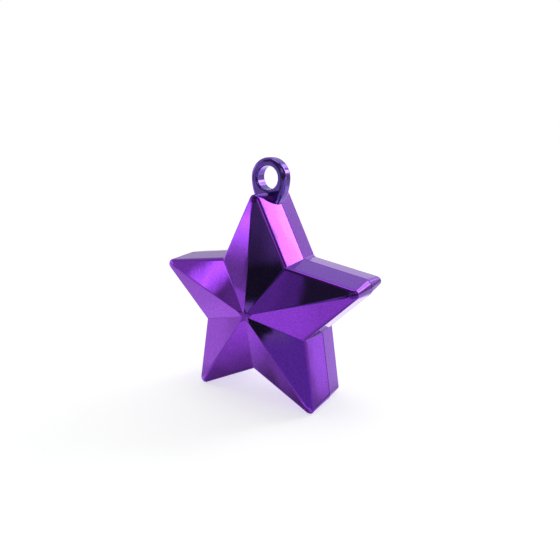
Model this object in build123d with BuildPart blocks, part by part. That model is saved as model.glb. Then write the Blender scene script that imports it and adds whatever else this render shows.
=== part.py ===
from build123d import *
import os
from collections import namedtuple
from math import atan2, cos, pi, sin

# A balloon weight: a five-pointed star of two moulded half shells that meet at a seam halfway through
# its thickness, a hanging loop that they trap in the top point, and mortar cast into each half.
# Millimetres, +Z up. The front faces -Y, and the origin is on the floor below the centre of the seam.

# Outline of the star at the seam
POINTS = 5
TIP_RADIUS = 50.1  # star centre to the tip of a point, before it is rounded
VALLEY_RADIUS = 25.4  # star centre to the inner corner between two points
TIP_ROUND = 3.7
VALLEY_ROUND = 0.6
FOOT_LAND_DEPTH = 0.4  # how much of the two lower tips is flat where the star stands

# Front half: its wall leans in from the seam to the rim, and ten facets rise from the rim to an apex
FRONT_WALL_DEPTH = 12.95
FRONT_FACET_RISE = 6.5
FRONT_DRAFT = 0.96  # how far the wall leans in between the seam and the rim
FRONT_TIP_ROUND = 2.15
FRONT_VALLEY_ROUND = 0.3
FRONT_RIM_ROUND = 1.5
FRONT_RIDGE_ROUND = 0.8
FRONT_CREASE_ROUND = 1.0

# Rear half: the same, with softer corners
REAR_WALL_DEPTH = 11.3
REAR_FACET_RISE = 8.15
REAR_DRAFT = 1.25
REAR_TIP_ROUND = 2.0
REAR_VALLEY_ROUND = 2.2
REAR_RIM_ROUND = 1.4
REAR_RIDGE_ROUND = 1.0
REAR_CREASE_ROUND = 0.8

# Shells
WALL = 2.0
INNER_ROUND = 0.8  # least rounding of a corner inside a shell
NOSE_REACH = 2.0  # how far past the rim a tip's rounding takes to narrow to the ridge's
NOSE_ROUND_SHARE = 0.85  # of a tip's rounding, left where the rim's rounding ends
RIM_STEPS = 6
SEAM_BEVEL = 0.25
LIP_THICKNESS = 0.9  # lip on the front shell, which the rear shell's rim fits over
LIP_HEIGHT = 1.6
LIP_CLEARANCE = 0.1
ROOT_SHARE = 0.5  # of the wall, into which posts and ribs inside a shell run

# Pins on the rear shell and sockets in the front shell, one towards each inner corner
PIN_CIRCLE = 14.5
PIN_RADIUS = 2.0
PIN_LENGTH = 5.0
PIN_CLEARANCE = 0.1
PIN_TIP_BEVEL = 0.4
POST_WALL = 1.6

# Hanging loop. It, its peg and the rib below it are placed from the corner where the top point's sides meet
EYE_RISE = 0.9  # that corner up to the centre of the eye
EYE_RADIUS = 7.7
EYE_BORE_RADIUS = 4.55
LOOP_THICKNESS = 5.9
LOOP_AHEAD = 0.7  # how far the middle of the loop lies in front of the seam
LOOP_EDGE_ROUND = 1.6
BORE_EDGE_ROUND = 0.8
NECK_DEPTH = 9.9  # that corner down to the foot of the neck
NECK_FOOT_WIDTH = 7.8  # the neck's sides curve in from the eye to this, inside the shells' wall
LOOP_CLEARANCE = 0.1

# Tang of the loop, which a peg on the rear shell passes through
PEG_DEPTH = 19.1
PEG_RADIUS = 2.0
PEG_GRIP = 3.0  # how far the peg goes into the front shell's socket
TANG_WIDTH = 4.4
TANG_THICKNESS = 4.0
TANG_PAD_RADIUS = 4.2

# Rib that closes the loop's chamber off from the mortar
BULKHEAD_DEPTH = 25.1
BULKHEAD_THICKNESS = 1.5

# Mortar
FILL_GAP = 2.5  # seam down to the mortar's level in each half
MORTAR_GAP = 0.15  # shrinkage away from the shell

# Angles and distances that follow from the outline. Every side of the star lies as far from its centre.
HALF_STEP = pi / POINTS
TIP_HALF_ANGLE = atan2(
    VALLEY_RADIUS * sin(HALF_STEP), TIP_RADIUS - VALLEY_RADIUS * cos(HALF_STEP)
)
VALLEY_HALF_ANGLE = TIP_HALF_ANGLE + HALF_STEP
SIDE_DISTANCE = TIP_RADIUS * sin(TIP_HALF_ANGLE)
TIP_ROUND_CENTRE = TIP_RADIUS - TIP_ROUND / sin(TIP_HALF_ANGLE)
FOOT_DROP = TIP_ROUND_CENTRE * cos(HALF_STEP) + TIP_ROUND
CENTRE_HEIGHT = FOOT_DROP - FOOT_LAND_DEPTH
STAR_CENTRE = (0, 0, CENTRE_HEIGHT)
EYE_HEIGHT = TIP_RADIUS + EYE_RISE
NECK_FOOT_HEIGHT = TIP_RADIUS - NECK_DEPTH
PEG_HEIGHT = TIP_RADIUS - PEG_DEPTH
BULKHEAD_HEIGHT = TIP_RADIUS - BULKHEAD_DEPTH

Half = namedtuple(
    "Half",
    "plane wall_depth facet_rise draft tip_round valley_round rim_round ridge_round crease_round",
)
front = Half(
    Plane(origin=STAR_CENTRE, x_dir=(1, 0, 0), z_dir=(0, -1, 0)),
    FRONT_WALL_DEPTH,
    FRONT_FACET_RISE,
    FRONT_DRAFT,
    FRONT_TIP_ROUND,
    FRONT_VALLEY_ROUND,
    FRONT_RIM_ROUND,
    FRONT_RIDGE_ROUND,
    FRONT_CREASE_ROUND,
)
rear = Half(
    Plane(origin=STAR_CENTRE, x_dir=(-1, 0, 0), z_dir=(0, 1, 0)),
    REAR_WALL_DEPTH,
    REAR_FACET_RISE,
    REAR_DRAFT,
    REAR_TIP_ROUND,
    REAR_VALLEY_ROUND,
    REAR_RIM_ROUND,
    REAR_RIDGE_ROUND,
    REAR_CREASE_ROUND,
)


def star(plane, inset, tip_round, valley_round):
    """Outline of the star on a plane, set in from the seam's outline."""
    tip = TIP_RADIUS - inset / sin(TIP_HALF_ANGLE)
    valley = VALLEY_RADIUS - inset / sin(VALLEY_HALF_ANGLE)
    corners = []
    for turn in range(2 * POINTS):
        radius = valley if turn % 2 else tip
        corners.append((radius * sin(turn * HALF_STEP), radius * cos(turn * HALF_STEP)))
    with BuildSketch(plane) as outline:
        with BuildLine():
            Polyline(*corners, close=True)
        make_face()
        fillet(outline.vertices().group_by(SortBy.DISTANCE)[-1], radius=tip_round)
        fillet(outline.vertices().group_by(SortBy.DISTANCE)[0], radius=valley_round)
    return outline.sketch


def inner_star(plane, inset):
    """Outline at the seam, set in with its rounding kept parallel to the outside."""
    return star(plane, inset, max(TIP_ROUND - inset, INNER_ROUND), VALLEY_ROUND + inset)


def outer_form(half):
    """Solid of one half: bevelled seam, leaning wall, rounded rim and facets."""
    with BuildLine() as profile:
        FilletPolyline(
            (0, 0),
            (half.draft, half.wall_depth),
            (SIDE_DISTANCE, half.wall_depth + half.facet_rise),
            radius=half.rim_round,
        )
    rim = profile.edges().filter_by(GeomType.CIRCLE)[0]
    lean = half.draft / half.wall_depth
    bevel_plane = half.plane.offset(SEAM_BEVEL)
    layers = [
        star(half.plane, SEAM_BEVEL, TIP_ROUND - SEAM_BEVEL, VALLEY_ROUND + SEAM_BEVEL),
        star(bevel_plane, SEAM_BEVEL * lean, TIP_ROUND, VALLEY_ROUND),
    ]
    for step in range(RIM_STEPS + 1):
        share = step / RIM_STEPS
        spot = rim @ share
        tip_round = half.tip_round * (1 - share * (1 - NOSE_ROUND_SHARE))
        valley_round = half.valley_round + share * (half.crease_round - half.valley_round)
        layers.append(star(half.plane.offset(spot.Y), spot.X, tip_round, valley_round))
    nose_share = NOSE_REACH / (SIDE_DISTANCE - half.draft)
    nose_plane = half.plane.offset(half.wall_depth + half.facet_rise * nose_share)
    ridge_round = half.ridge_round * (1 - nose_share)
    crease_round = half.crease_round * (1 - nose_share)
    layers.append(star(nose_plane, half.draft + NOSE_REACH, ridge_round, crease_round))
    apex = half.plane.from_local_coords((0, 0, half.wall_depth + half.facet_rise))
    with BuildPart() as form:
        loft(sections=layers, ruled=True)
        loft(sections=[layers[-1], Vertex(*apex)], ruled=True)
    return form.part


def inner_form(half, inset):
    """Solid of one half set in all over, with plain corners: a cavity, or what fills one."""
    corner = Vector(half.draft, half.wall_depth)
    facet_run = SIDE_DISTANCE - half.draft
    wall_normal = Vector(half.wall_depth, -half.draft).normalized()
    facet_normal = Vector(half.facet_rise, -facet_run).normalized()
    rim = corner + (wall_normal + facet_normal) * (inset / (1 + wall_normal.dot(facet_normal)))
    seam_inset = inset / wall_normal.X
    apex_depth = half.wall_depth + half.facet_rise + inset / facet_normal.Y
    rim_tip_round = max(half.tip_round - inset, INNER_ROUND)
    layers = [
        inner_star(half.plane, seam_inset),
        star(half.plane.offset(rim.Y), rim.X, rim_tip_round, half.valley_round + inset),
    ]
    apex = half.plane.from_local_coords((0, 0, apex_depth))
    with BuildPart() as form:
        loft(sections=layers, ruled=True)
        loft(sections=[layers[-1], Vertex(*apex)], ruled=True)
    return form.part


pin_places = [
    (PIN_CIRCLE * sin(turn * HALF_STEP), PIN_CIRCLE * cos(turn * HALF_STEP))
    for turn in range(1, 2 * POINTS, 2)
]
pin_post_radius = PIN_RADIUS + PIN_CLEARANCE + POST_WALL
peg_post_radius = PEG_RADIUS + PIN_CLEARANCE + POST_WALL
tang_gap = TANG_THICKNESS / 2 + LOOP_CLEARANCE
lip_inset = WALL - LIP_THICKNESS
lip_room = LIP_HEIGHT + LIP_CLEARANCE
lip_lean = REAR_DRAFT * lip_room / REAR_WALL_DEPTH


def lip_band(plane, outer_inset, inner_inset, height):
    """Closed band along the seam."""
    with BuildPart() as band:
        extrude(inner_star(plane, outer_inset), amount=height)
        extrude(inner_star(plane, inner_inset), amount=height, mode=Mode.SUBTRACT)
    return band.part


def inner_frame(half):
    """Posts for the pins and the peg, and the rib across the top point, rooted in a shell's wall."""
    with BuildPart() as frame:
        with BuildSketch(half.plane):
            with Locations(*pin_places):
                Circle(pin_post_radius)
            with Locations((0, PEG_HEIGHT)):
                Circle(peg_post_radius)
            with Locations((0, BULKHEAD_HEIGHT)):
                Rectangle(2 * TIP_RADIUS, BULKHEAD_THICKNESS)
        extrude(amount=half.wall_depth + half.facet_rise)
        add(inner_form(half, WALL * ROOT_SHARE), mode=Mode.INTERSECT)
    return frame.part


loop_plane = front.plane.offset(LOOP_AHEAD)


def loop_form(grow):
    """Eye, neck and tang of the loop without its holes, grown all over."""
    side = EYE_RADIUS + grow
    foot_side = NECK_FOOT_WIDTH / 2 + grow
    foot = NECK_FOOT_HEIGHT - grow
    with BuildPart() as form:
        with BuildSketch(loop_plane):
            with BuildLine():
                ThreePointArc((-side, EYE_HEIGHT), (0, EYE_HEIGHT + side), (side, EYE_HEIGHT))
                TangentArc((side, EYE_HEIGHT), (foot_side, foot), tangent=(0, -1))
                TangentArc((-side, EYE_HEIGHT), (-foot_side, foot), tangent=(0, -1))
                Line((-foot_side, foot), (foot_side, foot))
            make_face()
        extrude(amount=LOOP_THICKNESS / 2 + grow, both=True)
        long_edges = form.edges().filter_by(Axis.X, reverse=True).filter_by(Axis.Y, reverse=True)
        fillet(long_edges, radius=LOOP_EDGE_ROUND + grow)
        with BuildSketch(front.plane):
            with Locations((0, PEG_HEIGHT)):
                Rectangle(
                    TANG_WIDTH + 2 * grow,
                    NECK_FOOT_HEIGHT - PEG_HEIGHT,
                    align=(Align.CENTER, Align.MIN),
                )
                Circle(TANG_PAD_RADIUS + grow)
        extrude(amount=TANG_THICKNESS / 2 + grow, both=True)
    return form.part


loop_slot = loop_form(LOOP_CLEARANCE)

# Front shell: facets, wall and a lip round its seam, with sockets for the rear shell's pins and peg
with BuildPart() as front_shell:
    add(outer_form(front))
    add(inner_form(front, WALL), mode=Mode.SUBTRACT)
    add(lip_band(front.plane, lip_inset, WALL, -LIP_HEIGHT))
    add(inner_frame(front))
    add(loop_slot, mode=Mode.SUBTRACT)
    with BuildSketch(front.plane):
        with Locations(*pin_places):
            Circle(PIN_RADIUS + PIN_CLEARANCE)
    extrude(amount=PIN_LENGTH + PIN_CLEARANCE, mode=Mode.SUBTRACT)
    with BuildSketch(front.plane):
        with Locations((0, PEG_HEIGHT)):
            Circle(PEG_RADIUS + PIN_CLEARANCE)
    extrude(amount=tang_gap + PEG_GRIP + PIN_CLEARANCE, mode=Mode.SUBTRACT)
    split(bisect_by=Plane.XY, keep=Keep.TOP)
front_shell.part.label = "front_shell"

# Rear shell: its rim is rebated over the front shell's lip, and it carries the pins and the peg
with BuildPart() as rear_shell:
    add(outer_form(rear))
    add(inner_form(rear, WALL), mode=Mode.SUBTRACT)
    add(inner_frame(rear))
    add(
        lip_band(rear.plane, lip_inset - LIP_CLEARANCE, WALL + lip_lean + LIP_CLEARANCE, lip_room),
        mode=Mode.SUBTRACT,
    )
    add(loop_slot, mode=Mode.SUBTRACT)
    with BuildSketch(rear.plane):
        with Locations(*pin_places):
            Circle(PIN_RADIUS)
    extrude(amount=-PIN_LENGTH)
    with BuildSketch(rear.plane.offset(tang_gap)):
        with Locations((0, PEG_HEIGHT)):
            Circle(PEG_RADIUS)
    extrude(amount=-2 * tang_gap - PEG_GRIP)
    pin_ends = rear_shell.edges().filter_by(GeomType.CIRCLE).group_by(Axis.Y)[0:2]
    chamfer(pin_ends[0] + pin_ends[1], length=PIN_TIP_BEVEL)
    split(bisect_by=Plane.XY, keep=Keep.TOP)
rear_shell.part.label = "rear_shell"

# Hanging loop: an eye on a neck, whose tang lies between the shells with the peg through its pad
with BuildPart() as hanging_loop:
    add(loop_form(0))
    with BuildSketch(loop_plane):
        with Locations((0, EYE_HEIGHT)):
            Circle(EYE_BORE_RADIUS)
    extrude(amount=LOOP_THICKNESS, both=True, mode=Mode.SUBTRACT)
    bore_edges = hanging_loop.edges().filter_by(
        lambda edge: edge.geom_type == GeomType.CIRCLE and edge.radius == EYE_BORE_RADIUS
    )
    fillet(bore_edges, radius=BORE_EDGE_ROUND)
    with BuildSketch(front.plane):
        with Locations((0, PEG_HEIGHT)):
            Circle(PEG_RADIUS + PIN_CLEARANCE)
    extrude(amount=TANG_THICKNESS, both=True, mode=Mode.SUBTRACT)
hanging_loop.part.label = "hanging_loop"


def ballast(half):
    """Mortar cast into one shell, up to its level and the bulkhead, round the posts."""
    bulkhead_foot = CENTRE_HEIGHT + BULKHEAD_HEIGHT - BULKHEAD_THICKNESS / 2 - MORTAR_GAP
    with BuildPart() as block:
        add(inner_form(half, WALL + MORTAR_GAP))
        split(bisect_by=half.plane.offset(FILL_GAP), keep=Keep.TOP)
        split(bisect_by=Plane.XY.offset(bulkhead_foot), keep=Keep.BOTTOM)
        with BuildSketch(half.plane):
            with Locations(*pin_places):
                Circle(pin_post_radius + MORTAR_GAP)
        extrude(amount=half.wall_depth + half.facet_rise, mode=Mode.SUBTRACT)
    return block.part


front_ballast = ballast(front)
front_ballast.label = "front_ballast"
rear_ballast = ballast(rear)
rear_ballast.label = "rear_ballast"

os.makedirs("parts", exist_ok=True)
export_step(front_shell.part, "parts/front_shell.step")
export_step(rear_shell.part, "parts/rear_shell.step")
export_step(hanging_loop.part, "parts/hanging_loop.step")
export_step(front_ballast, "parts/front_ballast.step")
export_step(rear_ballast, "parts/rear_ballast.step")
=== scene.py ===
import bpy
from math import acos, atan2, cos, pi, radians, sin, tan
from mathutils import Matrix, Vector


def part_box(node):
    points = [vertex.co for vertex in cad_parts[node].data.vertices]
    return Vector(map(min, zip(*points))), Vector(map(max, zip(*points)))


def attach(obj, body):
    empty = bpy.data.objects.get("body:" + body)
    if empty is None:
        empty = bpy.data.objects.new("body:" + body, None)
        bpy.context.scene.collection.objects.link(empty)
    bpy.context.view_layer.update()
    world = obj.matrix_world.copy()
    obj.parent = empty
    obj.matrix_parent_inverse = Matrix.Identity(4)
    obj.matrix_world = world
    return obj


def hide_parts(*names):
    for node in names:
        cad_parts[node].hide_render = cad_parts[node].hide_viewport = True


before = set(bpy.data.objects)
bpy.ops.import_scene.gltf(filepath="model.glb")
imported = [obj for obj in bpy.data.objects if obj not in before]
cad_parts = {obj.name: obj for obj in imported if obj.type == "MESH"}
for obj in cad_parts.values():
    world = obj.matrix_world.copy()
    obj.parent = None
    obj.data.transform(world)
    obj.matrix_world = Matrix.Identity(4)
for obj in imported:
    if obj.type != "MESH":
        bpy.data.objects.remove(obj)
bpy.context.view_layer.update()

# Front shell: one half of the star, injection moulded in thin plastic and then metallised purple.
# Ten flat facets rise from a rounded rim to a blunt apex, and a wall with a little draft runs back to
# the seam, where a lip inside the wall fits into the rear shell.
POINTS = 5
TIP_RADIUS = 0.0501
VALLEY_RADIUS = 0.0254
SEAM_TIP_ROUND = 0.0037
SEAM_VALLEY_ROUND = 0.0006
SEAM_BEVEL = 0.00025
FOOT_LAND_DEPTH = 0.0004
WALL = 0.002
INNER_ROUND = 0.0008
LIP_THICKNESS = 0.0009
LIP_HEIGHT = 0.0016
LIP_CLEARANCE = 0.0001
NOSE_REACH = 0.002
NOSE_ROUND_SHARE = 0.85
RIM_STEPS = 8
WALL_STEPS = 4
FACET_STEPS = 10
TIP_STEPS = 10
SIDE_STEPS = 12
VALLEY_STEPS = 4
SUPPORT = 0.0003
WELD_DISTANCE = 0.000001
SHARP_ANGLE = radians(35)

half_step = pi / POINTS
tip_half_angle = atan2(
    VALLEY_RADIUS * sin(half_step), TIP_RADIUS - VALLEY_RADIUS * cos(half_step)
)
side_distance = TIP_RADIUS * sin(tip_half_angle)
tip_round_centre = TIP_RADIUS - SEAM_TIP_ROUND / sin(tip_half_angle)
star_height = tip_round_centre * cos(half_step) + SEAM_TIP_ROUND - FOOT_LAND_DEPTH


def between(start, end, share):
    """The station that lies at a share of the way from one station to another."""
    return tuple(a + share * (b - a) for a, b in zip(start, end))


def outer_stations(depth, rise, draft, tip_round, valley_round, rim_round, ridge_round, crease_round):
    """Outside of a half from its apex to the seam, as (inset, depth, tip rounding, valley rounding)."""
    wall_depth = depth - rise
    corner = Vector((draft, wall_depth))
    to_seam = -corner.normalized()
    to_apex = (Vector((side_distance, depth)) - corner).normalized()
    half_turn = acos(to_seam.dot(to_apex)) / 2
    centre = corner + (to_seam + to_apex).normalized() * rim_round / sin(half_turn)
    reach = rim_round / tan(half_turn)
    start = corner + to_apex * reach - centre
    sweep = pi - 2 * half_turn
    rim = []
    for step in range(RIM_STEPS + 1):
        share = 1 - step / RIM_STEPS
        turned = Matrix.Rotation(sweep * (1 - share), 2) @ start
        spot = centre + turned
        rim.append(
            (
                spot.x,
                spot.y,
                tip_round * (1 - share * (1 - NOSE_ROUND_SHARE)),
                valley_round + share * (crease_round - valley_round),
            )
        )
    nose_share = NOSE_REACH / (side_distance - draft)
    nose = (
        draft + NOSE_REACH,
        wall_depth + rise * nose_share,
        ridge_round * (1 - nose_share),
        crease_round * (1 - nose_share),
    )
    apex = (side_distance, depth, 0.0, 0.0)
    seam = (SEAM_BEVEL * draft / wall_depth, SEAM_BEVEL, SEAM_TIP_ROUND, SEAM_VALLEY_ROUND)
    stations = [between(apex, nose, step / FACET_STEPS) for step in range(FACET_STEPS)]
    stations += [nose, between(rim[0], nose, SUPPORT / NOSE_REACH)]
    stations += rim
    stations.append(between(rim[-1], seam, SUPPORT / wall_depth))
    stations += [between(rim[-1], seam, step / WALL_STEPS) for step in range(1, WALL_STEPS + 1)]
    stations.append(
        (SEAM_BEVEL, 0.0, SEAM_TIP_ROUND - SEAM_BEVEL, SEAM_VALLEY_ROUND + SEAM_BEVEL)
    )
    return stations


def at_seam(inset, depth):
    """A station inside the wall near the seam, with its rounding parallel to the outside."""
    return inset, depth, max(SEAM_TIP_ROUND - inset, INNER_ROUND), SEAM_VALLEY_ROUND + inset


def inner_stations(depth, rise, draft, tip_round, valley_round):
    """Inside of a half from its wall at the seam to its apex, set in by the wall's thickness."""
    wall_depth = depth - rise
    wall_normal = Vector((wall_depth, -draft)).normalized()
    facet_normal = Vector((rise, draft - side_distance)).normalized()
    shift = (wall_normal + facet_normal) * (WALL / (1 + wall_normal.dot(facet_normal)))
    rim = (
        draft + shift.x,
        wall_depth + shift.y,
        max(tip_round - WALL, INNER_ROUND),
        valley_round + WALL,
    )
    apex = (side_distance, depth + WALL / facet_normal.y, 0.0, 0.0)
    return [rim, apex]


class Field:
    """A value that differs from point to point, worked out by the tree's Math nodes."""

    def __init__(self, tree, socket):
        self.tree = tree
        self.socket = socket

    def step(self, operation, *values):
        node = self.tree.nodes.new("ShaderNodeMath")
        node.operation = operation
        for place, value in zip(node.inputs, values):
            if isinstance(value, Field):
                self.tree.links.new(value.socket, place)
            else:
                place.default_value = value
        return Field(self.tree, node.outputs[0])

    def __add__(self, other):
        return self.step("ADD", self, other)

    def __sub__(self, other):
        return self.step("SUBTRACT", self, other)

    def __rsub__(self, other):
        return self.step("SUBTRACT", other, self)

    def __mul__(self, other):
        return self.step("MULTIPLY", self, other)

    def __truediv__(self, other):
        return self.step("DIVIDE", self, other)

    def __rtruediv__(self, other):
        return self.step("DIVIDE", other, self)

    def floor(self):
        return self.step("FLOOR", self)

    def sin(self):
        return self.step("SINE", self)

    def cos(self):
        return self.step("COSINE", self)

    def unit(self):
        """The value, held between 0 and 1."""
        return self.step("MINIMUM", self.step("MAXIMUM", self, 0.0), 1.0)

    def towards(self, other, share):
        return self + (other - self) * share


def station_value(tree, profile, row, name):
    """The named value of a profile's station, for each row of a grid."""
    value = tree.nodes.new("GeometryNodeInputNamedAttribute")
    value.data_type = "FLOAT"
    value.inputs["Name"].default_value = name
    pick = tree.nodes.new("GeometryNodeSampleIndex")
    tree.links.new(profile, pick.inputs["Geometry"])
    tree.links.new(value.outputs["Attribute"], pick.inputs["Value"])
    tree.links.new(row.socket, pick.inputs["Index"])
    return Field(tree, pick.outputs["Value"])


def star_sweep():
    """Tree that carries a profile of stations round a star whose tips and valleys are rounded."""
    tree = bpy.data.node_groups.new("Star sweep", "GeometryNodeTree")
    for name, kind in (
        ("Profile", "NodeSocketGeometry"),
        ("Points", "NodeSocketInt"),
        ("Tip Radius", "NodeSocketFloat"),
        ("Valley Radius", "NodeSocketFloat"),
        ("Centre Height", "NodeSocketFloat"),
        ("Side", "NodeSocketFloat"),
        ("Tip Steps", "NodeSocketInt"),
        ("Straight Steps", "NodeSocketInt"),
        ("Valley Steps", "NodeSocketInt"),
        ("Weld Distance", "NodeSocketFloat"),
        ("Finish", "NodeSocketMaterial"),
    ):
        tree.interface.new_socket(name, in_out="INPUT", socket_type=kind)
    tree.interface.new_socket("Shell", in_out="OUTPUT", socket_type="NodeSocketGeometry")
    nodes, links = tree.nodes, tree.links
    given = nodes.new("NodeGroupInput")
    made = nodes.new("NodeGroupOutput")

    def entry(name):
        return Field(tree, given.outputs[name])

    # Places in the grid: each column is a spot on the outline and each row a station of the profile
    count = nodes.new("GeometryNodeAttributeDomainSize")
    links.new(given.outputs["Profile"], count.inputs["Geometry"])
    rows = Field(tree, count.outputs["Point Count"])
    steps = entry("Tip Steps") + entry("Straight Steps") + entry("Valley Steps")
    grid = nodes.new("GeometryNodeMeshGrid")
    links.new((entry("Points") * 2 * steps + 1).socket, grid.inputs["Vertices X"])
    links.new(rows.socket, grid.inputs["Vertices Y"])
    index = Field(tree, nodes.new("GeometryNodeInputIndex").outputs[0])
    column = (index / rows).floor()
    row = index - column * rows

    def station(name):
        return station_value(tree, given.outputs["Profile"], row, name)

    # Each point of the star is two mirrored halves that run from its tip to a valley
    half = (column / steps).floor()
    run = column - half * steps
    mirrored = half - (half / 2).floor() * 2
    run = run.towards(steps - run, mirrored)
    turn = pi / entry("Points")
    tip_turn = (half + mirrored) * turn
    lean = entry("Valley Radius") * turn.sin()
    lean = lean.step("ARCTAN2", lean, entry("Tip Radius") - entry("Valley Radius") * turn.cos())
    valley_lean = lean + turn

    # Rounded tip, rounded valley and the straight side between, along and across the point's axis
    inset = station("inset")
    tip_round = station("tip_round")
    valley_round = station("valley_round")
    tip_centre = entry("Tip Radius") - (inset + tip_round) / lean.sin()
    tip_angle = (run / entry("Tip Steps")).unit() * (pi / 2 - lean)
    tip_along = tip_centre + tip_round * tip_angle.cos()
    tip_across = tip_round * tip_angle.sin()
    valley_centre = entry("Valley Radius") - (inset - valley_round) / valley_lean.sin()
    valley_angle = ((steps - run) / entry("Valley Steps")).unit() * (pi / 2 - valley_lean)
    valley_out = valley_centre - valley_round * valley_angle.cos()
    valley_across = valley_round * valley_angle.sin()
    valley_along = valley_out * turn.cos() + valley_across * turn.sin()
    valley_aside = valley_out * turn.sin() - valley_across * turn.cos()
    share = ((run - entry("Tip Steps")) / entry("Straight Steps")).unit()
    share = 0.5 - (share * pi).cos() * 0.5
    along = tip_along.towards(valley_along, share)
    across = tip_across.towards(valley_aside, share) * (1 - mirrored * 2)

    # Upright in the frame, and flat where the lower tips stand on the floor
    place = nodes.new("ShaderNodeCombineXYZ")
    links.new((along * tip_turn.sin() + across * tip_turn.cos()).socket, place.inputs["X"])
    links.new((station("depth") * entry("Side")).socket, place.inputs["Y"])
    height = along * tip_turn.cos() - across * tip_turn.sin() + entry("Centre Height")
    links.new(height.step("MAXIMUM", height, 0.0).socket, place.inputs["Z"])
    moved = nodes.new("GeometryNodeSetPosition")
    links.new(grid.outputs["Mesh"], moved.inputs["Geometry"])
    links.new(place.outputs["Vector"], moved.inputs["Position"])
    welded = nodes.new("GeometryNodeMergeByDistance")
    links.new(moved.outputs["Geometry"], welded.inputs["Geometry"])
    links.new(given.outputs["Weld Distance"], welded.inputs["Distance"])
    smooth = nodes.new("GeometryNodeSetShadeSmooth")
    links.new(welded.outputs["Geometry"], smooth.inputs["Geometry"])
    real = nodes.new("GeometryNodeRealizeInstances")
    links.new(smooth.outputs["Geometry"], real.inputs["Geometry"])
    finish = nodes.new("GeometryNodeSetMaterial")
    links.new(real.outputs["Geometry"], finish.inputs["Geometry"])
    links.new(given.outputs["Finish"], finish.inputs["Material"])
    links.new(finish.outputs["Geometry"], made.inputs["Shell"])
    return tree


def face_outwards(mesh):
    """Turns the faces of a closed mesh outwards if its volume comes out negative."""
    mesh.calc_loop_triangles()
    volume = 0.0
    for triangle in mesh.loop_triangles:
        a, b, c = (mesh.vertices[corner].co for corner in triangle.vertices)
        volume += a.dot(b.cross(c))
    if volume < 0:
        mesh.flip_normals()


def swept(name, tree, titles, stations, sizes):
    """An object that a tree makes from its stations and sizes."""
    profile = bpy.data.meshes.new(name)
    profile.from_pydata([(0.0, 0.0, 0.0)] * len(stations), [], [])
    for place, title in enumerate(titles):
        values = profile.attributes.new(title, "FLOAT", "POINT")
        values.data.foreach_set("value", [station[place] for station in stations])
    piece = bpy.data.objects.new(name, profile)
    bpy.context.scene.collection.objects.link(piece)
    sweep = piece.modifiers.new(tree.name, "NODES")
    sweep.node_group = tree
    for item in tree.interface.items_tree:
        if item.in_out == "INPUT" and item.name in sizes:
            sweep[item.identifier] = sizes[item.name]
    evaluated = piece.evaluated_get(bpy.context.evaluated_depsgraph_get())
    mesh = bpy.data.meshes.new_from_object(evaluated)
    piece.modifiers.remove(sweep)
    piece.data = mesh
    face_outwards(mesh)
    mesh.set_sharp_from_angle(angle=SHARP_ANGLE)
    return piece


def swept_shell(name, stations, side, finish):
    """A closed shell, made from its stations by the star sweep."""
    sizes = {
        "Points": POINTS,
        "Tip Radius": TIP_RADIUS,
        "Valley Radius": VALLEY_RADIUS,
        "Centre Height": star_height,
        "Side": side,
        "Tip Steps": TIP_STEPS,
        "Straight Steps": SIDE_STEPS,
        "Valley Steps": VALLEY_STEPS,
        "Weld Distance": WELD_DISTANCE,
        "Finish": finish,
    }
    titles = ("inset", "depth", "tip_round", "valley_round")
    return swept(name, star_tree, titles, stations, sizes)


# Painted shade: the dark purple that the seam groove is painted with, in place of its grain colour
PAINTED_SEAM_SHADE = (0.16, 0.03, 0.39, 1.0)
NOISE_LOW = 0.3
NOISE_HIGH = 0.7
GRAIN_DETAIL = 2.0
WAVE_DETAIL = 1.5
COAT_WEIGHT = 0.4
COAT_ROUGHNESS = 0.5


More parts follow.
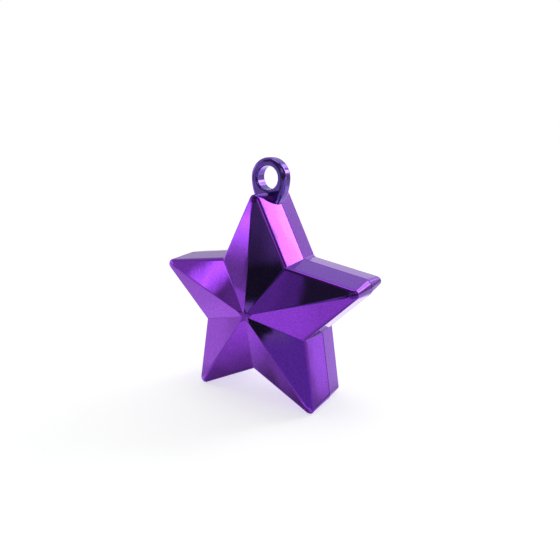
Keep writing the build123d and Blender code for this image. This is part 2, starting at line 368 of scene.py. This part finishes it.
def satin_grain():
    """Group for moulded and metallised plastic: fine grain, slow waves, cloudy gloss, and painted shade that
    darkens the seam groove.
    """
    group = bpy.data.node_groups.new("Satin grain", "ShaderNodeTree")
    for name, kind, value in (
        ("Tint", "NodeSocketColor", (0.5, 0.5, 0.5, 1.0)),
        ("Shade", "NodeSocketColor", (0.4, 0.4, 0.4, 1.0)),
        ("Grain Scale", "NodeSocketFloat", 2000.0),
        ("Grain Depth", "NodeSocketFloat", 0.000002),
        ("Wave Scale", "NodeSocketFloat", 60.0),
        ("Wave Depth", "NodeSocketFloat", 0.00005),
        ("Low Roughness", "NodeSocketFloat", 0.1),
        ("High Roughness", "NodeSocketFloat", 0.2),
        ("Seam Half Width", "NodeSocketFloat", 0.0),
    ):
        socket = group.interface.new_socket(name, in_out="INPUT", socket_type=kind)
        socket.default_value = value
    for name, kind in (
        ("Color", "NodeSocketColor"),
        ("Roughness", "NodeSocketFloat"),
        ("Normal", "NodeSocketVector"),
    ):
        group.interface.new_socket(name, in_out="OUTPUT", socket_type=kind)
    nodes, links = group.nodes, group.links
    given = nodes.new("NodeGroupInput")
    made = nodes.new("NodeGroupOutput")
    where = nodes.new("ShaderNodeTexCoord")

    def noise(scale_name, detail):
        node = nodes.new("ShaderNodeTexNoise")
        node.inputs["Detail"].default_value = detail
        links.new(where.outputs["Object"], node.inputs["Vector"])
        links.new(given.outputs[scale_name], node.inputs["Scale"])
        return node.outputs["Fac"]

    def spread(value):
        """Node that takes the middle of a noise's range and spreads it between two ends."""
        node = nodes.new("ShaderNodeMapRange")
        node.inputs["From Min"].default_value = NOISE_LOW
        node.inputs["From Max"].default_value = NOISE_HIGH
        links.new(value, node.inputs["Value"])
        return node

    grain = noise("Grain Scale", GRAIN_DETAIL)
    waves = noise("Wave Scale", WAVE_DETAIL)
    wave_bump = nodes.new("ShaderNodeBump")
    links.new(waves, wave_bump.inputs["Height"])
    links.new(given.outputs["Wave Depth"], wave_bump.inputs["Distance"])
    grain_bump = nodes.new("ShaderNodeBump")
    links.new(grain, grain_bump.inputs["Height"])
    links.new(given.outputs["Grain Depth"], grain_bump.inputs["Distance"])
    links.new(wave_bump.outputs["Normal"], grain_bump.inputs["Normal"])
    links.new(grain_bump.outputs["Normal"], made.inputs["Normal"])
    tint = nodes.new("ShaderNodeMix")
    tint.data_type = "RGBA"
    links.new(spread(grain).outputs["Result"], tint.inputs["Factor"])
    links.new(given.outputs["Shade"], tint.inputs["A"])
    links.new(given.outputs["Tint"], tint.inputs["B"])
    # Painted shade: within the seam half width of the seam plane, the groove takes a dark colour instead of
    # the grain's colour
    place = nodes.new("ShaderNodeSeparateXYZ")
    links.new(where.outputs["Object"], place.inputs["Vector"])
    from_seam = Field(group, place.outputs["Y"])
    from_seam = from_seam.step("ABSOLUTE", from_seam)
    on_wall = from_seam.step("GREATER_THAN", from_seam, Field(group, given.outputs["Seam Half Width"]))
    seam = nodes.new("ShaderNodeMix")
    seam.data_type = "RGBA"
    links.new(on_wall.socket, seam.inputs["Factor"])
    seam.inputs["A"].default_value = PAINTED_SEAM_SHADE
    links.new(tint.outputs["Result"], seam.inputs["B"])
    links.new(seam.outputs["Result"], made.inputs["Color"])
    gloss = spread(waves)
    links.new(given.outputs["Low Roughness"], gloss.inputs["To Min"])
    links.new(given.outputs["High Roughness"], gloss.inputs["To Max"])
    links.new(gloss.outputs["Result"], made.inputs["Roughness"])
    return group


def metallised(name, settings):
    """Purple metal film under a thin clear lacquer, on moulded plastic."""
    finish = bpy.data.materials.new(name)
    finish.use_nodes = True
    nodes, links = finish.node_tree.nodes, finish.node_tree.links
    shader = nodes["Principled BSDF"]
    shader.inputs["Metallic"].default_value = 1.0
    shader.inputs["Coat Weight"].default_value = COAT_WEIGHT
    shader.inputs["Coat Roughness"].default_value = COAT_ROUGHNESS
    grain = nodes.new("ShaderNodeGroup")
    grain.node_tree = satin_group
    for title, value in settings.items():
        grain.inputs[title].default_value = value
    links.new(grain.outputs["Color"], shader.inputs["Base Color"])
    links.new(grain.outputs["Roughness"], shader.inputs["Roughness"])
    links.new(grain.outputs["Normal"], shader.inputs["Normal"])
    return finish


star_tree = star_sweep()
satin_group = satin_grain()

FRONT_RISE = 0.0065
FRONT_DRAFT = 0.00096
FRONT_TIP_ROUND = 0.00215
FRONT_VALLEY_ROUND = 0.0003
FRONT_RIM_ROUND = 0.0015
FRONT_RIDGE_ROUND = 0.0008
FRONT_CREASE_ROUND = 0.001

front_depth = -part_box("front_shell")[0].y
front_stations = outer_stations(
    front_depth,
    FRONT_RISE,
    FRONT_DRAFT,
    FRONT_TIP_ROUND,
    FRONT_VALLEY_ROUND,
    FRONT_RIM_ROUND,
    FRONT_RIDGE_ROUND,
    FRONT_CREASE_ROUND,
)
front_stations += [
    at_seam(WALL - LIP_THICKNESS, 0.0),
    at_seam(WALL - LIP_THICKNESS, -LIP_HEIGHT),
    at_seam(WALL, -LIP_HEIGHT),
    at_seam(WALL, 0.0),
]
front_stations += inner_stations(
    front_depth, FRONT_RISE, FRONT_DRAFT, FRONT_TIP_ROUND, FRONT_VALLEY_ROUND
)
front_finish = metallised(
    "front_shell_metallised",
    {
        "Tint": (0.315, 0.053, 0.77, 1.0),
        "Shade": (0.225, 0.036, 0.57, 1.0),
        "Grain Scale": 1800.0,
        "Grain Depth": 0.000001,
        "Wave Scale": 70.0,
        "Wave Depth": 0.00006,
        "Low Roughness": 0.025,
        "High Roughness": 0.05,
        "Seam Half Width": SEAM_BEVEL,
    },
)
front_shell = swept_shell("front_shell_skin", front_stations, -1.0, front_finish)
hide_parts("front_shell")
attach(front_shell, "root")

# Rear shell: the other half, from the same kind of mould with softer edges. Its rim is rebated to fit
# over the front shell's lip, so that a fine groove shows where the two meet.
REAR_RISE = 0.00815
REAR_DRAFT = 0.00125
REAR_TIP_ROUND = 0.002
REAR_VALLEY_ROUND = 0.0022
REAR_RIM_ROUND = 0.0014
REAR_RIDGE_ROUND = 0.001
REAR_CREASE_ROUND = 0.0008

rear_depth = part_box("rear_shell")[1].y
rear_stations = outer_stations(
    rear_depth,
    REAR_RISE,
    REAR_DRAFT,
    REAR_TIP_ROUND,
    REAR_VALLEY_ROUND,
    REAR_RIM_ROUND,
    REAR_RIDGE_ROUND,
    REAR_CREASE_ROUND,
)
lip_room = LIP_HEIGHT + LIP_CLEARANCE
rear_stations += [
    at_seam(WALL - LIP_THICKNESS - LIP_CLEARANCE, 0.0),
    at_seam(WALL - LIP_THICKNESS - LIP_CLEARANCE, lip_room),
    at_seam(WALL + LIP_CLEARANCE, lip_room),
]
rear_stations += inner_stations(
    rear_depth, REAR_RISE, REAR_DRAFT, REAR_TIP_ROUND, REAR_VALLEY_ROUND
)
rear_finish = metallised(
    "rear_shell_metallised",
    {
        "Tint": (0.3, 0.042, 0.74, 1.0),
        "Shade": (0.23, 0.03, 0.58, 1.0),
        "Grain Scale": 1500.0,
        "Grain Depth": 0.000002,
        "Wave Scale": 60.0,
        "Wave Depth": 0.00006,
        "Low Roughness": 0.08,
        "High Roughness": 0.12,
        "Seam Half Width": SEAM_BEVEL,
    },
)
rear_shell = swept_shell("rear_shell_skin", rear_stations, 1.0, rear_finish)
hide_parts("rear_shell")
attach(rear_shell, "root")

# Hanging loop: a ring on a short neck, moulded in the same plastic and metallised. Its tang lies between
# the two shells, with a peg through it, so that only the ring and its neck show.
EYE_RISE = 0.0009
EYE_RADIUS = 0.0077
BORE_RADIUS = 0.00455
LOOP_AHEAD = 0.0007
LOOP_EDGE_ROUND = 0.0016
BORE_EDGE_ROUND = 0.0008
NECK_DEPTH = 0.0099
NECK_FOOT_WIDTH = 0.0078
PEG_DEPTH = 0.0191
PEG_HOLE_RADIUS = 0.0021
TANG_WIDTH = 0.0044
TANG_THICKNESS = 0.004
PAD_RADIUS = 0.0042
EDGE_STEPS = 8
LOOP_SUPPORT = 0.00015
EYE_STEPS = 40
NECK_STEPS = 24
FOOT_STEPS = 6
PAD_STEPS = 64

loop_finish = metallised(
    "hanging_loop_metallised",
    {
        "Tint": (0.25, 0.115, 0.68, 1.0),
        "Shade": (0.2, 0.09, 0.56, 1.0),
        "Grain Scale": 2000.0,
        "Grain Depth": 0.000001,
        "Wave Scale": 160.0,
        "Wave Depth": 0.00003,
        "Low Roughness": 0.04,
        "High Roughness": 0.07,
    },
)


def rounded_edge(rounding, half_thickness):
    """Edge from a face round to a side, as (inset from the side, depth from the middle)."""
    turns = [pi / 2 * step / EDGE_STEPS for step in range(EDGE_STEPS + 1)]
    return [
        (rounding * (1 - sin(turn)), half_thickness - rounding * (1 - cos(turn))) for turn in turns
    ]


def loop_stations(half_thickness):
    """Closed section of the ring, as (1 on the bore's side, inset from that side, depth)."""
    half = [(1.0, 0.0, half_thickness - BORE_EDGE_ROUND - LOOP_SUPPORT)]
    half += [(1.0, *spot) for spot in reversed(rounded_edge(BORE_EDGE_ROUND, half_thickness))]
    half.append((1.0, BORE_EDGE_ROUND + LOOP_SUPPORT, half_thickness))
    half.append((0.0, LOOP_EDGE_ROUND + LOOP_SUPPORT, half_thickness))
    half += [(0.0, *spot) for spot in rounded_edge(LOOP_EDGE_ROUND, half_thickness)]
    half.append((0.0, 0.0, half_thickness - LOOP_EDGE_ROUND - LOOP_SUPPORT))
    rest = [(side, inset, -depth) for side, inset, depth in reversed(half)]
    return half + rest + [half[0]]


def loop_sweep():
    """Tree that carries a section round an eye and its neck, and adds the tang with its pad."""
    tree = bpy.data.node_groups.new("Loop sweep", "GeometryNodeTree")
    for name, kind in (
        ("Section", "NodeSocketGeometry"),
        ("Eye Radius", "NodeSocketFloat"),
        ("Bore Radius", "NodeSocketFloat"),
        ("Neck Length", "NodeSocketFloat"),
        ("Foot Half Width", "NodeSocketFloat"),
        ("Eye Steps", "NodeSocketInt"),
        ("Neck Steps", "NodeSocketInt"),
        ("Foot Steps", "NodeSocketInt"),
        ("Eye Place", "NodeSocketVector"),
        ("Tang Size", "NodeSocketVector"),
        ("Tang Place", "NodeSocketVector"),
        ("Pad Place", "NodeSocketVector"),
        ("Pad Radius", "NodeSocketFloat"),
        ("Pad Hole Radius", "NodeSocketFloat"),
        ("Pad Thickness", "NodeSocketFloat"),
        ("Weld Distance", "NodeSocketFloat"),
        ("Finish", "NodeSocketMaterial"),
    ):
        tree.interface.new_socket(name, in_out="INPUT", socket_type=kind)
    tree.interface.new_socket("Loop", in_out="OUTPUT", socket_type="NodeSocketGeometry")
    nodes, links = tree.nodes, tree.links
    given = nodes.new("NodeGroupInput")
    made = nodes.new("NodeGroupOutput")

    def entry(name):
        return Field(tree, given.outputs[name])

    # Places in the grid: each column is a spot on the outline and each row a station of the section
    count = nodes.new("GeometryNodeAttributeDomainSize")
    links.new(given.outputs["Section"], count.inputs["Geometry"])
    rows = Field(tree, count.outputs["Point Count"])
    steps = entry("Eye Steps") + entry("Neck Steps") + entry("Foot Steps")
    grid = nodes.new("GeometryNodeMeshGrid")
    links.new((steps * 2 + 1).socket, grid.inputs["Vertices X"])
    links.new(rows.socket, grid.inputs["Vertices Y"])
    index = Field(tree, nodes.new("GeometryNodeInputIndex").outputs[0])
    column = (index / rows).floor()
    row = index - column * rows

    def station(name):
        return station_value(tree, given.outputs["Section"], row, name)

    # The outline is two mirrored halves that run from the top of the eye to the middle of the foot
    mirrored = column.step("GREATER_THAN", column, steps)
    run = column.towards(steps * 2 - column, mirrored)
    eye_turn = (run / entry("Eye Steps")).unit() * (pi / 2)
    narrowing = entry("Eye Radius") - entry("Foot Half Width")
    neck_length = entry("Neck Length")
    neck_radius = (narrowing * narrowing + neck_length * neck_length) / (narrowing * 2)
    whole_turn = neck_length / neck_radius
    whole_turn = whole_turn.step("ARCSINE", whole_turn)
    neck_turn = ((run - entry("Eye Steps")) / entry("Neck Steps")).unit() * whole_turn
    foot = ((run - entry("Eye Steps") - entry("Neck Steps")) / entry("Foot Steps")).unit()
    on_neck = run.step("GREATER_THAN", run, entry("Eye Steps"))

    def outline(inset):
        """Spot that lies inside the outline, across and up from the centre of the eye."""
        eye = entry("Eye Radius") - inset
        neck = neck_radius - inset
        neck_across = entry("Eye Radius") - neck_radius + neck * neck_turn.cos()
        aside = (eye * eye_turn.sin()).towards(neck_across, on_neck) * (1 - foot)
        upward = (eye * eye_turn.cos()).towards(neck * neck_turn.sin() * -1, on_neck)
        return aside, upward.towards(inset - neck_length, foot)

    # Beside the bore a spot keeps the direction that its column's spot on the outline has
    rim_across, rim_up = outline(entry("Bore Radius") * 0)
    bearing = rim_across.step("ARCTAN2", rim_across, rim_up)
    inset = station("inset")
    bore = entry("Bore Radius") + inset
    across, upward = outline(inset)
    on_bore = station("on_bore")
    across = across.towards(bore * bearing.sin(), on_bore) * (1 - mirrored * 2)
    upward = upward.towards(bore * bearing.cos(), on_bore)
    place = nodes.new("ShaderNodeCombineXYZ")
    links.new(across.socket, place.inputs["X"])
    links.new(station("depth").socket, place.inputs["Y"])
    links.new(upward.socket, place.inputs["Z"])
    moved = nodes.new("GeometryNodeSetPosition")
    links.new(grid.outputs["Mesh"], moved.inputs["Geometry"])
    links.new(place.outputs["Vector"], moved.inputs["Position"])
    links.new(given.outputs["Eye Place"], moved.inputs["Offset"])
    welded = nodes.new("GeometryNodeMergeByDistance")
    links.new(moved.outputs["Geometry"], welded.inputs["Geometry"])
    links.new(given.outputs["Weld Distance"], welded.inputs["Distance"])

    # Tang, and the pad at its end as a ring round the peg's hole
    tang = nodes.new("GeometryNodeMeshCube")
    links.new(given.outputs["Tang Size"], tang.inputs["Size"])
    tang_moved = nodes.new("GeometryNodeTransform")
    links.new(tang.outputs["Mesh"], tang_moved.inputs["Geometry"])
    links.new(given.outputs["Tang Place"], tang_moved.inputs["Translation"])
    middle = nodes.new("GeometryNodeCurvePrimitiveCircle")
    middle.inputs["Resolution"].default_value = PAD_STEPS
    links.new(((entry("Pad Radius") + entry("Pad Hole Radius")) / 2).socket, middle.inputs["Radius"])
    section = nodes.new("GeometryNodeCurvePrimitiveQuadrilateral")
    links.new((entry("Pad Radius") - entry("Pad Hole Radius")).socket, section.inputs["Width"])
    links.new(given.outputs["Pad Thickness"], section.inputs["Height"])
    pad = nodes.new("GeometryNodeCurveToMesh")
    links.new(middle.outputs["Curve"], pad.inputs["Curve"])
    links.new(section.outputs["Curve"], pad.inputs["Profile Curve"])
    pad_moved = nodes.new("GeometryNodeTransform")
    pad_moved.inputs["Rotation"].default_value = (pi / 2, 0.0, 0.0)
    links.new(pad.outputs["Mesh"], pad_moved.inputs["Geometry"])
    links.new(given.outputs["Pad Place"], pad_moved.inputs["Translation"])
    joined = nodes.new("GeometryNodeJoinGeometry")
    for part in (pad_moved, tang_moved, welded):
        links.new(part.outputs["Geometry"], joined.inputs["Geometry"])
    smooth = nodes.new("GeometryNodeSetShadeSmooth")
    links.new(joined.outputs["Geometry"], smooth.inputs["Geometry"])
    real = nodes.new("GeometryNodeRealizeInstances")
    links.new(smooth.outputs["Geometry"], real.inputs["Geometry"])
    finish = nodes.new("GeometryNodeSetMaterial")
    links.new(real.outputs["Geometry"], finish.inputs["Geometry"])
    links.new(given.outputs["Finish"], finish.inputs["Material"])
    links.new(finish.outputs["Geometry"], made.inputs["Loop"])
    return tree


loop_low, loop_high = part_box("hanging_loop")
eye_height = star_height + TIP_RADIUS + EYE_RISE
foot_height = star_height + TIP_RADIUS - NECK_DEPTH
peg_height = star_height + TIP_RADIUS - PEG_DEPTH
pad_middle = (PAD_RADIUS + PEG_HOLE_RADIUS) / 2
tang_foot = peg_height + pad_middle
tang_top = foot_height + LOOP_EDGE_ROUND
loop_sizes = {
    "Eye Radius": EYE_RADIUS,
    "Bore Radius": BORE_RADIUS,
    "Neck Length": eye_height - foot_height,
    "Foot Half Width": NECK_FOOT_WIDTH / 2,
    "Eye Steps": EYE_STEPS,
    "Neck Steps": NECK_STEPS,
    "Foot Steps": FOOT_STEPS,
    "Eye Place": (0.0, -LOOP_AHEAD, eye_height),
    "Tang Size": (TANG_WIDTH, TANG_THICKNESS, tang_top - tang_foot),
    "Tang Place": (0.0, 0.0, (tang_top + tang_foot) / 2),
    "Pad Place": (0.0, 0.0, peg_height),
    "Pad Radius": PAD_RADIUS,
    "Pad Hole Radius": PEG_HOLE_RADIUS,
    "Pad Thickness": TANG_THICKNESS,
    "Weld Distance": WELD_DISTANCE,
    "Finish": loop_finish,
}
loop = swept(
    "hanging_loop_skin",
    loop_sweep(),
    ("on_bore", "inset", "depth"),
    loop_stations((loop_high.y - loop_low.y) / 2),
    loop_sizes,
)
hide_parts("hanging_loop")
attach(loop, "root")

# Ballast: mortar poured into each half before the halves are joined. It is out of sight, grey and grainy,
# with sand showing in it.
SAND_SCALE = 1400.0
SAND_DETAIL = 6.0
SAND_RELIEF = 0.0003
SAND_DARK = (0.2, 0.19, 0.17, 1.0)
SAND_PALE = (0.55, 0.53, 0.48, 1.0)
MORTAR_ROUGHNESS = 0.9

mortar = bpy.data.materials.new("mortar")
mortar.use_nodes = True
mortar_nodes, mortar_links = mortar.node_tree.nodes, mortar.node_tree.links
mortar_shader = mortar_nodes["Principled BSDF"]
mortar_where = mortar_nodes.new("ShaderNodeTexCoord")
sand = mortar_nodes.new("ShaderNodeTexNoise")
sand.inputs["Scale"].default_value = SAND_SCALE
sand.inputs["Detail"].default_value = SAND_DETAIL
mortar_links.new(mortar_where.outputs["Object"], sand.inputs["Vector"])
sand_colour = mortar_nodes.new("ShaderNodeValToRGB")
sand_colour.color_ramp.elements[0].color = SAND_DARK
sand_colour.color_ramp.elements[1].color = SAND_PALE
mortar_links.new(sand.outputs["Fac"], sand_colour.inputs["Fac"])
mortar_links.new(sand_colour.outputs["Color"], mortar_shader.inputs["Base Color"])
sand_bump = mortar_nodes.new("ShaderNodeBump")
sand_bump.inputs["Distance"].default_value = SAND_RELIEF
mortar_links.new(sand.outputs["Fac"], sand_bump.inputs["Height"])
mortar_links.new(sand_bump.outputs["Normal"], mortar_shader.inputs["Normal"])
mortar_shader.inputs["Roughness"].default_value = MORTAR_ROUGHNESS
for name in ("front_ballast", "rear_ballast"):
    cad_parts[name].material_slots[0].material = mortar

# Floor: a plain white sheet that the star stands on, with its shadow. It is left out of reflections,
# where the studio below stands for it.
FLOOR_REACH = 3.0
PAPER_COLOUR = (0.85, 0.85, 0.85, 1.0)
PAPER_GLOW = 0.6

floor_mesh = bpy.data.meshes.new("floor")
floor_mesh.from_pydata(
    [(x * FLOOR_REACH, y * FLOOR_REACH, 0.0) for x, y in ((-1, -1), (1, -1), (1, 1), (-1, 1))],
    [],
    [(0, 1, 2, 3)],
)
floor = bpy.data.objects.new("floor", floor_mesh)
bpy.context.scene.collection.objects.link(floor)
paper = bpy.data.materials.new("floor_paper")
paper.use_nodes = True
paper_nodes, paper_links = paper.node_tree.nodes, paper.node_tree.links
paper_nodes.clear()
paper_out = paper_nodes.new("ShaderNodeOutputMaterial")
paper_matt = paper_nodes.new("ShaderNodeBsdfDiffuse")
paper_matt.inputs["Color"].default_value = PAPER_COLOUR
paper_glow = paper_nodes.new("ShaderNodeEmission")
paper_path = paper_nodes.new("ShaderNodeLightPath")
paper_level = paper_nodes.new("ShaderNodeMath")
paper_level.operation = "MULTIPLY"
paper_level.inputs[1].default_value = PAPER_GLOW
paper_links.new(paper_path.outputs["Is Camera Ray"], paper_level.inputs[0])
paper_links.new(paper_level.outputs[0], paper_glow.inputs["Strength"])
paper_sum = paper_nodes.new("ShaderNodeAddShader")
paper_links.new(paper_matt.outputs[0], paper_sum.inputs[0])
paper_links.new(paper_glow.outputs[0], paper_sum.inputs[1])
paper_links.new(paper_sum.outputs[0], paper_out.inputs["Surface"])
floor_mesh.materials.append(paper)
floor.visible_glossy = False

# Studio: a white tent, open towards the front where the room is dark, with two windows on the left and
# a soft lamp behind on the right. It lights the star and shows in the metal, but seen directly it is
# white. Angles are degrees from the front, to the right and up.
DEGREES = 180 / pi
TENT_LEVEL = 0.92
PLAIN_LIGHT = (1.0, 1.0, 1.0, 1.0)
WARM_LIGHT = (1.06, 1.2, 0.93, 1.0)
COOL_LIGHT = (0.84, 0.96, 1.15, 1.0)
GREY_LIGHT = (0.96, 2.0, 1.04, 1.0)
AMBER_LIGHT = (2.6, 4.0, 0.8, 1.0)

world = bpy.data.worlds.new("studio")
bpy.context.scene.world = world
world.use_nodes = True
sky, sky_links = world.node_tree.nodes, world.node_tree.links
sky.clear()


def sky_field(socket):
    return Field(world.node_tree, socket)


direction = sky.new("ShaderNodeSeparateXYZ")
sky_links.new(sky.new("ShaderNodeTexCoord").outputs["Generated"], direction.inputs[0])
look_x = sky_field(direction.outputs["X"])
look_y = sky_field(direction.outputs["Y"])
look_z = sky_field(direction.outputs["Z"])
azimuth = look_x.step("ARCTAN2", look_x, look_y * -1) * DEGREES
elevation = look_z.step("ARCSINE", look_z) * DEGREES
unlit = azimuth * 0


def rise(value, start, end):
    """Climbs smoothly from 0 at start to 1 at end."""
    node = sky.new("ShaderNodeMapRange")
    node.interpolation_type = "SMOOTHSTEP"
    node.inputs["From Min"].default_value = start
    node.inputs["From Max"].default_value = end
    sky_links.new(value.socket, node.inputs["Value"])
    return sky_field(node.outputs["Result"])


def card(behind, level, left, right, bottom, top, blur, fade=None, lean=0.0):
    """Lays a card of one brightness over what is behind it, with soft sides and ends, upright or leaning."""
    fade = blur if fade is None else fade
    along = azimuth - (elevation - (bottom + top) / 2) * lean
    sides = rise(along, left - blur, left + blur) - rise(along, right - blur, right + blur)
    ends = rise(elevation, bottom - fade, bottom + fade) - rise(elevation, top - fade, top + fade)
    return behind.towards(level, sides * ends)


# Each row is a card: level, left, right, bottom, top and blur, then fade and lean where it has them
light = unlit + TENT_LEVEL
# White tent round the back, greyer above
for row in (
    (0.6, -200, 200, 18, 100, 6),
    (0.72, 150, 200, -30, 18, 6),
    (1.25, -190, -148, -42, -18, 5),
    (0.58, -155, -118, -2, 20, 6),
    (0.8, -175, -158, 2, 14, 3),
    (0.5, -125, -46, 18, 62, 4),
):
    light = card(light, *row)
# Dark room in front
for row in (
    (0.068, -62.8, 98, -15.6, 70, 0.5),
    (0.12, 92, 137.5, 2, 48, 2),
    (0.4, -70, -46.5, 17, 60, 2.5),
    (0.2, 10, 44, 12, 40, 8, 4),
    (0.16, 62, 94, 12, 36, 3),
):
    light = card(light, *row)
# Sheet that the star stands on, darker towards the front and where the star shades it
for row in (
    (0.5, -58, -16, -42, -15, 4),
    (0.9, -28, -2, -62, -36, 5),
    (0.72, -7.5, 14, -62, -36, 2.5),
    (0.6, -12, 4, -62, -43.6, 3, 1),
    (0.5, 60, 139, -40, -6, 0.6, 3),
    (0.35, 14, 66, -40, -7, 8, 3),
    (0.33, -14, 26, -33, -12, 5, 3),
    (0.15, 40, 68, -46, -31, 3),
    (0.62, -60, -33.5, -60, -36, 4),
    (0.42, -33, -17.4, -42.5, -28, 1.2, 1.5),
    (0.16, -52, -14, -75, -48.2, 4, 2.8),
    (0.17, -76, -57, -75, -43.6, 3, 2.8),
    (0.42, -62.7, -50, -48, -43, 0.8, 1.8),
    (1.08, -80, -66, -38, -31.5, 4, 1.5),
    (0.8, -80, -70, -28.5, -24, 4, 1.2),
    (0.62, -80, -62, -25.5, -21.3, 3, 0.7),
    (0.7, -68.3, -60, -22, -12, 1.2, 3),
    (1.1, 139.6, 145, -15.5, -8, 0.6, 1.5),
    (0.3, 120, 150, -32, -17.6, 4, 1.6),
    (0.88, 150, 175, -22, -8, 4, 3),
    (0.35, 159.5, 172, -23.5, -19.8, 0.8, 1),
    (0.3, -200, 200, -100, -64, 6),
):
    light = card(light, *row)
# Camera, dark in the middle of the room
for row in (
    (0.017, -8, 1.05, -16.9, 0.6, 0.3, 0.6),
    (0.017, 0.5, 1.85, -15.85, -5, 0.25, 0.15),
    (0.45, -12, -2.75, -9, -3.85, 0.35),
    (0.135, -8, 4, 3.2, 12, 1, 2.2),
    (0.185, -1.9, 10, 1.4, 14, 0.9, 1.2),
):
    light = card(light, *row)
# Windows on the left, with a sill
for row in (
    (0.38, -75, -61, -6.6, 12, 0.5, 0.3),
    (2.8, -75, -61.5, -1.0, 12, 0.4, 3.5),
    (1.6, -75, -61.5, 1.3, 12, 0.4, 0.7),
    (0.2, -62.9, -61, -5.5, -2.8, 0.2, 0.6),
    (0.75, -66, -61, -14, -6.75, 0.3, 0.25),
    (0.9, -61.4, -49, -15, 14, 1.2),
    (0.5, -50, -44, -15, 18, 1.5),
    (0.12, -60, -38, -6.5, 0.8, 0.6, 0.8),
    (0.32, -41, -37, 5, 11, 1.5),
    (2.15, -44.2, -41.65, 5.5, 14.9, 1.4, 1.4, 0.5),
    (0.03, -23, -16.8, 6, 20, 0.8),
    (0.22, -31, -22.75, 4, 18, 0.4),
    (0.29, -31, -24.8, 4, 18, 0.9),
    (0.42, -37, -28, -12, 0, 3),
):
    light = card(light, *row)
# Lamp behind on the right, with a dark core, a stand below it, and a bright strip further round
for row in (
    (0.9, 42, 64, 23, 40, 2),
    (2.0, 157, 173, 15.5, 34, 1),
    (4.1, 139.5, 157, 12, 46, 1.2),
    (6.2, 145.6, 150, 12, 32.8, 0.5, 2, 0.45),
    (0.5, 132, 143.8, 14, 30, 0.45, 2, 0.43),
    (0.5, 155.5, 161, 19.5, 25.5, 0.8),
    (0.28, 146, 161, -9, 8, 2.5),
    (0.42, 146, 155.5, -14.5, -7, 2),
):
    light = card(light, *row)
# Lamp overhead
light = card(light, 1.3, -200, 200, 71, 100, 2)
camera_path = sky.new("ShaderNodeLightPath")
seen = sky_field(camera_path.outputs["Is Camera Ray"])
# Warmer light low on the left, cooler light from the front and from above the back, greyer in the dark,
# and an amber glow above the camera
warm = card(unlit, 1, -110, -65.6, -45, -13, 1.5, 3)
cool = card(unlit, 1, -14, 120, -33, -12, 5, 3)
cool = card(cool, 1, 5, 60, 12, 40, 5)
cool = card(cool, 0.6, -30, -16, 4, 20, 2)
cool = card(cool, 0.4, -175, -150, 24, 36, 4)
grey = card(unlit, 1, -22.6, 4, -17, 20, 0.4, 1)
amber = card(unlit, 1, 22, 41, 16, 32, 2)


def tinted(colour, share, tint):
    """The light's colour, turned towards a tint where the studio is not seen directly."""
    mix = sky.new("ShaderNodeMix")
    mix.data_type = "RGBA"
    mix.inputs["B"].default_value = tint
    sky_links.new((share - share * seen).socket, mix.inputs["Factor"])
    if colour:
        sky_links.new(colour, mix.inputs["A"])
    else:
        mix.inputs["A"].default_value = PLAIN_LIGHT
    return mix.outputs["Result"]


glow = sky.new("ShaderNodeBackground")
colour = tinted(None, warm, WARM_LIGHT)
colour = tinted(colour, cool, COOL_LIGHT)
colour = tinted(colour, grey, GREY_LIGHT)
colour = tinted(colour, amber, AMBER_LIGHT)
sky_links.new(colour, glow.inputs["Color"])
sky_links.new(light.towards(seen, seen).socket, glow.inputs["Strength"])
sky_links.new(glow.outputs[0], sky.new("ShaderNodeOutputWorld").inputs["Surface"])

# Camera: the photograph's viewpoint, above and to the right of the front, close enough for perspective.
CAMERA_AZIMUTH = radians(30.776)
CAMERA_ELEVATION = radians(15.348)
CAMERA_ROLL = radians(0.778)
CAMERA_DISTANCE = 0.22227
CAMERA_RIGHT = 0.00381
CAMERA_UP = 0.00949
LENS_LENGTH = 34.73
SENSOR_WIDTH = 36.0
NEAREST = 0.01
FARTHEST = 20.0

back = Vector(
    (
        sin(CAMERA_AZIMUTH) * cos(CAMERA_ELEVATION),
        -cos(CAMERA_AZIMUTH) * cos(CAMERA_ELEVATION),
        sin(CAMERA_ELEVATION),
    )
)
level = Vector((cos(CAMERA_AZIMUTH), sin(CAMERA_AZIMUTH), 0.0))
upright = back.cross(level)
across = level * cos(CAMERA_ROLL) + upright * sin(CAMERA_ROLL)
upright = back.cross(across)
spot = Vector((0.0, 0.0, star_height))
spot += back * CAMERA_DISTANCE + across * CAMERA_RIGHT + upright * CAMERA_UP
lens = bpy.data.cameras.new("camera")
lens.lens = LENS_LENGTH
lens.sensor_width = SENSOR_WIDTH
lens.clip_start = NEAREST
lens.clip_end = FARTHEST
camera = bpy.data.objects.new("camera", lens)
camera.matrix_world = Matrix(
    (
        (across.x, upright.x, back.x, spot.x),
        (across.y, upright.y, back.y, spot.y),
        (across.z, upright.z, back.z, spot.z),
        (0.0, 0.0, 0.0, 1.0),
    )
)
bpy.context.scene.collection.objects.link(camera)
bpy.context.scene.camera = camera
bpy.context.scene.view_settings.view_transform = "Standard"
